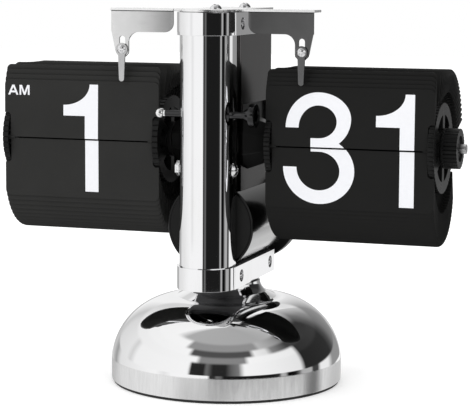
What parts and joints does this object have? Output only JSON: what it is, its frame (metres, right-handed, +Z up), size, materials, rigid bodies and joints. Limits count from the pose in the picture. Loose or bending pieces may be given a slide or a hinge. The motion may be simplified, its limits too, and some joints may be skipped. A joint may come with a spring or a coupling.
{
  "type": "flip number clock",
  "caption": "Desk flip clock: hour and minute drums of hinged flaps on a steel column with a round domed base, a battery tube behind and a setting knob on the right.",
  "frame": {"origin": "centre of the round base's underside, on the table", "axes": "+X to the right seen from the front, along the drum axis; the numbers face -Y; +Z up"},
  "size_m": [0.202, 0.1, 0.1632],
  "materials": {
    "polished_steel": "mirror polished",
    "screw_steel": "bright plated",
    "bright_steel": "polished, satin edges",
    "dark_nickel": "dark plated, polished",
    "shaft_steel": "ground",
    "cast_iron": "rough cast",
    "soft_pad": "matt foam",
    "dark_block": "black coated",
    "case_black": "fine moulded grain",
    "wheel_black": "moulded, slightly glossy",
    "flap_black": "satin sheet",
    "gear_acetal": "moulded",
    "brass": "machined",
    "motor_zinc": "drawn can",
    "board_green": "solder mask",
    "cell_label": "plain film sleeve",
    "contact_nickel": "plated strip"
  },
  "bodies": {
    "frame": {"base_pad": "soft_pad", "base_weight": "cast_iron", "base_dome": "polished_steel", "base_bolt": "screw_steel", "foot_block": "dark_block", "head_block": "dark_block", "lower_strap": "polished_steel", "upper_strap": "polished_steel", "strap_screws": "screw_steel", "column_tube": "polished_steel", "chassis": "dark_nickel", "cross_screw": "screw_steel", "stay_rod": "polished_steel", "stay_ring": "polished_steel", "top_bracket": "bright_steel", "top_screws": "screw_steel", "gearcase_left": "case_black", "gearcase_right": "case_black", "gearcase_screws": "screw_steel", "gear_plate": "brass", "shaft_bushes": "brass", "motor_body": "motor_zinc", "circuit_board": "board_green", "minute_flaps_upper": "flap_black", "minute_flaps_lower": "flap_black", "hour_flaps_upper": "flap_black", "hour_flaps_lower": "flap_black", "battery_shell": "polished_steel", "battery_disc": "case_black", "battery_ring": "case_black", "battery_cell": "cell_label", "contact_spring": "contact_nickel"},
    "finger_left": {"finger_left": "bright_steel", "finger_screw_left": "screw_steel"},
    "finger_right": {"finger_right": "bright_steel", "finger_screw_right": "screw_steel"},
    "motor_rotor": {"motor_pinion": "gear_acetal"},
    "arbor": {"arbor": "shaft_steel", "arbor_wheel": "gear_acetal"},
    "minute_drum": {"minute_shaft": "shaft_steel", "minute_gear": "gear_acetal", "minute_pinion": "gear_acetal", "minute_collar": "wheel_black", "minute_hub": "wheel_black", "minute_wheel_inner": "wheel_black", "minute_wheel_outer": "wheel_black", "setting_knob": "wheel_black"},
    "hour_drum": {"hour_shaft": "shaft_steel", "hour_gear": "gear_acetal", "hour_collar": "wheel_black", "hour_hub": "wheel_black", "hour_wheel_inner": "wheel_black", "hour_wheel_outer": "wheel_black"},
    "minute_flap": {"minute_falling_flap": "flap_black"},
    "hour_flap": {"hour_falling_flap": "flap_black"},
    "battery_cap": {"battery_cap": "case_black", "contact_plate": "contact_nickel"}
  },
  "joints": [
    {"name": "minute_spin", "type": "hinge", "parent": "frame", "child": "minute_drum", "pos_m": [0, -0.0042, 0.1047], "axis": [1, 0, 0], "continuous": true},
    {"name": "hour_spin", "type": "hinge", "parent": "frame", "child": "hour_drum", "pos_m": [0, -0.0042, 0.1047], "axis": [1, 0, 0], "continuous": true},
    {"name": "arbor_spin", "type": "hinge", "parent": "frame", "child": "arbor", "pos_m": [0, 0.0098, 0.1047], "axis": [1, 0, 0], "continuous": true},
    {"name": "motor_spin", "type": "hinge", "parent": "frame", "child": "motor_rotor", "pos_m": [0, -0.0042, 0.1197], "axis": [1, 0, 0], "continuous": true},
    {"name": "minute_flap_fall", "type": "hinge", "parent": "frame", "child": "minute_flap", "pos_m": [0, -0.021, 0.1047], "axis": [1, 0, 0], "range_deg": [0, 180]},
    {"name": "hour_flap_fall", "type": "hinge", "parent": "frame", "child": "hour_flap", "pos_m": [0, -0.021, 0.1047], "axis": [1, 0, 0], "range_deg": [0, 180]},
    {"name": "finger_left_set", "type": "slide", "parent": "frame", "child": "finger_left", "axis": [0, 0, 1], "range_m": [0, 0.002]},
    {"name": "finger_right_set", "type": "slide", "parent": "frame", "child": "finger_right", "axis": [0, 0, 1], "range_m": [0, 0.002]},
    {"name": "battery_cap_pull", "type": "slide", "parent": "frame", "child": "battery_cap", "axis": [0, 1, 0], "range_m": [0, 0.03]}
  ],
  "couplings": [
    {"joint": "hour_spin", "follows": "minute_spin", "ratio": 0.041667},
    {"joint": "arbor_spin", "follows": "minute_spin", "ratio": -0.25},
    {"joint": "motor_spin", "follows": "minute_spin", "ratio": -4}
  ]
}
